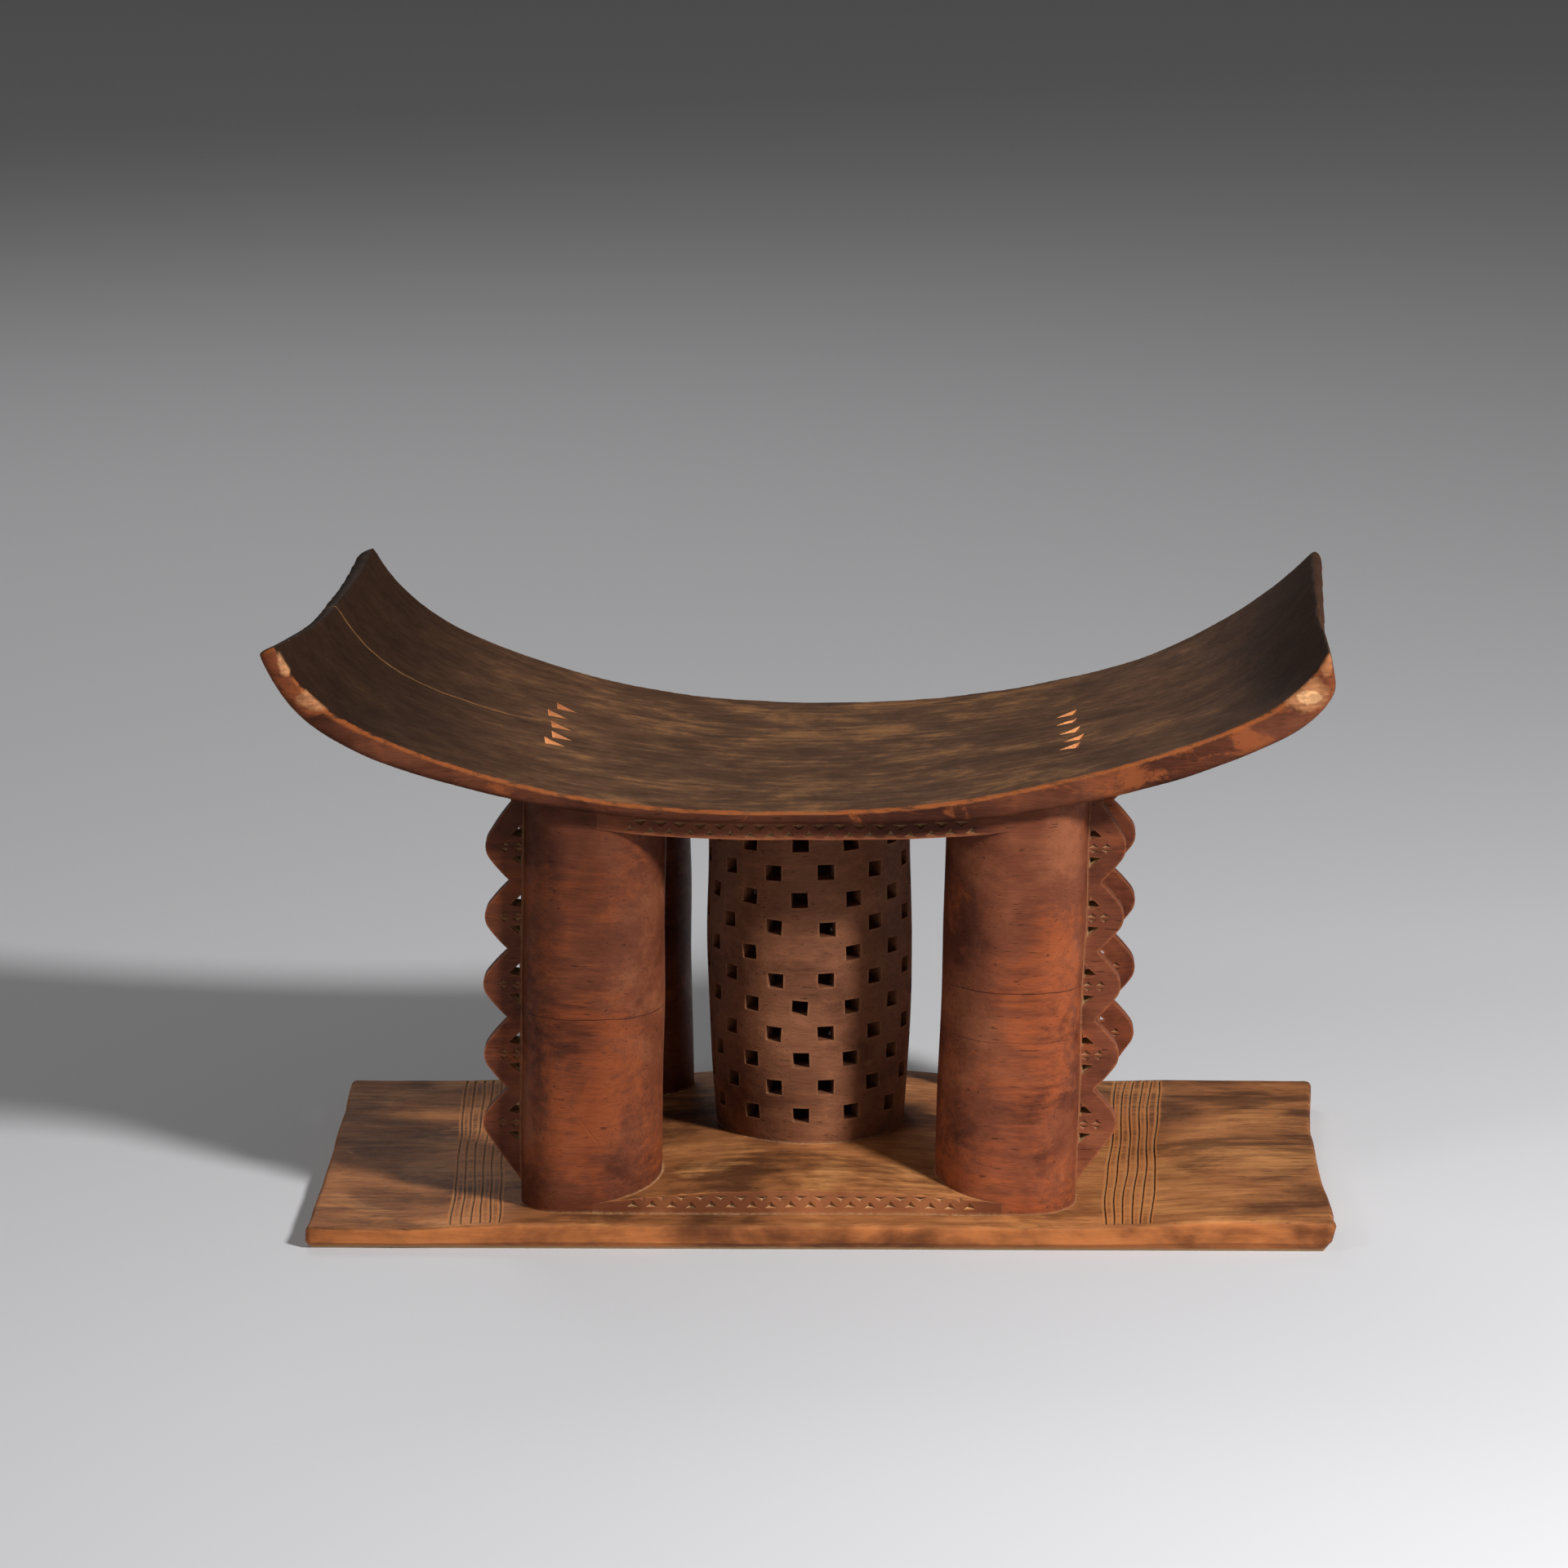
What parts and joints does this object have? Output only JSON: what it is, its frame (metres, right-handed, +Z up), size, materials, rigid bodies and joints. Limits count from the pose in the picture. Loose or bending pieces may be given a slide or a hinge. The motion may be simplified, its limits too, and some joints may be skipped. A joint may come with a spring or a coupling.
{
  "type": "ashanti stool",
  "caption": "Low carved wooden seat: a curved saddle seat on lobed corner posts and a pierced hollow drum, standing on a flat rectangular slab.",
  "frame": {"origin": "on the floor, under the middle of the stool's box", "axes": "+X along the seat, +Y towards the back, +Z up"},
  "size_m": [0.611, 0.292, 0.3499],
  "materials": {
    "seat_wood": "dark handled patina, worn golden along the grain",
    "trunk_wood": "red-brown hand-rubbed patina, satin",
    "base_wood": "golden-brown worn patina, satin"
  },
  "bodies": {
    "root": {"seat": "seat_wood", "upper_block": "trunk_wood", "front_left_post": "trunk_wood", "front_right_post": "trunk_wood", "rear_left_post": "trunk_wood", "rear_right_post": "trunk_wood", "front_left_fin": "trunk_wood", "front_right_fin": "trunk_wood", "rear_left_fin": "trunk_wood", "rear_right_fin": "trunk_wood", "central_drum": "trunk_wood", "plinth": "base_wood", "base_slab": "base_wood"}
  },
  "joints": []
}
